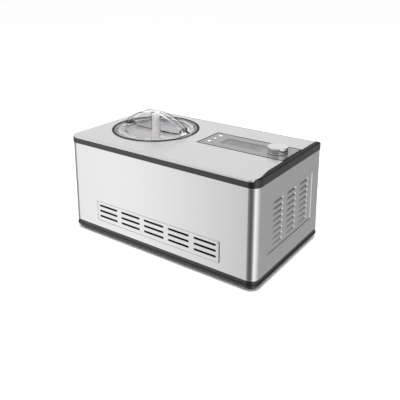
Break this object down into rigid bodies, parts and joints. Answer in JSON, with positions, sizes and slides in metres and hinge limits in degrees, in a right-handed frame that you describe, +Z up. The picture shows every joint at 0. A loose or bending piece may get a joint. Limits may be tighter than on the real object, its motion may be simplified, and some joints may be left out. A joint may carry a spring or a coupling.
{
  "type": "compressor ice cream maker",
  "caption": "Benchtop compressor ice cream maker: steel-wrapped housing, lift-out bowl under a clear lid with an arched grip, geared paddle drive, control window with display, buttons and knob.",
  "frame": {"origin": "on the surface it stands on, under the middle of the housing", "axes": "+X to the right along the housing's length, +Y to the rear, +Z up; the front faces -Y"},
  "size_m": [0.425, 0.255, 0.2363],
  "materials": {
    "brushed_steel": "brushed",
    "black_plastic": "fine matte",
    "grey_plastic": "matte",
    "white_plastic": "satin",
    "window_plastic": "glossy, smoked grey",
    "display_glass": "glossy",
    "clear_plastic": "clear, glossy",
    "chrome": "polished side, satin top",
    "aluminium": "satin",
    "copper": "copper, satin",
    "rubber": "matte",
    "silicone": "translucent, soft",
    "foam": "rigid foam",
    "black_enamel": "semi-gloss enamel",
    "circuit_board": "lacquered board",
    "transformer": "taped winding"
  },
  "bodies": {
    "housing": {"base_tray": "black_plastic", "rear_panel": "black_plastic", "power_inlet": "black_plastic", "top_frame": "black_plastic", "opening_bezel": "black_plastic", "window_carrier": "black_plastic", "relay_cover": "black_plastic", "foot_front_left": "rubber", "foot_front_right": "rubber", "foot_rear_left": "rubber", "foot_rear_right": "rubber", "shaft_seal": "rubber", "compressor_mount_1": "rubber", "compressor_mount_2": "rubber", "compressor_mount_3": "rubber", "casing_shell": "brushed_steel", "top_plate": "brushed_steel", "cooling_drum": "aluminium", "idler_pin": "aluminium", "paddle_motor": "aluminium", "condenser": "aluminium", "evaporator_coil": "copper", "filter_drier": "copper", "suction_pipe": "copper", "discharge_pipe": "copper", "capillary_tube": "copper", "insulation_jacket": "foam", "drum_pillar_1": "grey_plastic", "drum_pillar_2": "grey_plastic", "drum_pillar_3": "grey_plastic", "gearbox_housing": "grey_plastic", "gearbox_cover": "grey_plastic", "encoder": "grey_plastic", "fan_shroud": "grey_plastic", "shaft_bearing": "white_plastic", "control_window": "window_plastic", "display": "display_glass", "control_board": "circuit_board", "power_board": "circuit_board", "compressor": "black_enamel", "compressor_plate": "black_enamel", "fan_motor": "black_enamel", "transformer": "transformer"},
    "bowl": {"bowl": "aluminium"},
    "lid": {"lid": "clear_plastic", "lid_seal": "silicone"},
    "paddle": {"paddle": "white_plastic"},
    "output": {"output_gear": "white_plastic", "drive_shaft": "aluminium"},
    "idler": {"idler_gear": "white_plastic"},
    "pinion": {"motor_pinion": "aluminium", "motor_shaft": "aluminium"},
    "knob": {"knob": "chrome", "knob_shaft": "aluminium"},
    "button_1": {"button_1": "white_plastic"},
    "button_2": {"button_2": "white_plastic"},
    "button_3": {"button_3": "white_plastic"},
    "fan": {"fan_rotor": "black_plastic", "fan_shaft": "aluminium"}
  },
  "joints": [
    {"name": "bowl_lift", "type": "slide", "parent": "housing", "child": "bowl", "axis": [0, 0, 1], "range_m": [0, 0.16]},
    {"name": "lid_lift", "type": "slide", "parent": "bowl", "child": "lid", "axis": [0, 0, 1], "range_m": [0, 0.08]},
    {"name": "output_spin", "type": "hinge", "parent": "housing", "child": "output", "pos_m": [-0.099, 0.003, 0.0105], "axis": [0, 0, 1], "continuous": true},
    {"name": "paddle_spin", "type": "hinge", "parent": "bowl", "child": "paddle", "pos_m": [-0.099, 0.003, 0.0534], "axis": [0, 0, 1], "continuous": true},
    {"name": "idler_spin", "type": "hinge", "parent": "housing", "child": "idler", "pos_m": [-0.027, 0.003, 0.0105], "axis": [0, 0, 1], "continuous": true},
    {"name": "pinion_spin", "type": "hinge", "parent": "housing", "child": "pinion", "pos_m": [0.013, 0.003, 0.0105], "axis": [0, 0, 1], "continuous": true},
    {"name": "knob_spin", "type": "hinge", "parent": "housing", "child": "knob", "pos_m": [0.1734, 0.014, 0.1999], "axis": [0, 0, 1], "continuous": true},
    {"name": "button_1_press", "type": "slide", "parent": "housing", "child": "button_1", "axis": [0, 0, -1], "range_m": [0, 0.0008], "stiffness_N_per_m": 300},
    {"name": "button_2_press", "type": "slide", "parent": "housing", "child": "button_2", "axis": [0, 0, -1], "range_m": [0, 0.0008], "stiffness_N_per_m": 300},
    {"name": "button_3_press", "type": "slide", "parent": "housing", "child": "button_3", "axis": [0, 0, -1], "range_m": [0, 0.0008], "stiffness_N_per_m": 300},
    {"name": "fan_spin", "type": "hinge", "parent": "housing", "child": "fan", "pos_m": [0.1735, 0, 0.0943], "axis": [1, 0, 0], "continuous": true}
  ],
  "couplings": [
    {"joint": "paddle_spin", "follows": "output_spin", "ratio": 1},
    {"joint": "idler_spin", "follows": "output_spin", "ratio": -1.4},
    {"joint": "pinion_spin", "follows": "output_spin", "ratio": 4.2}
  ]
}
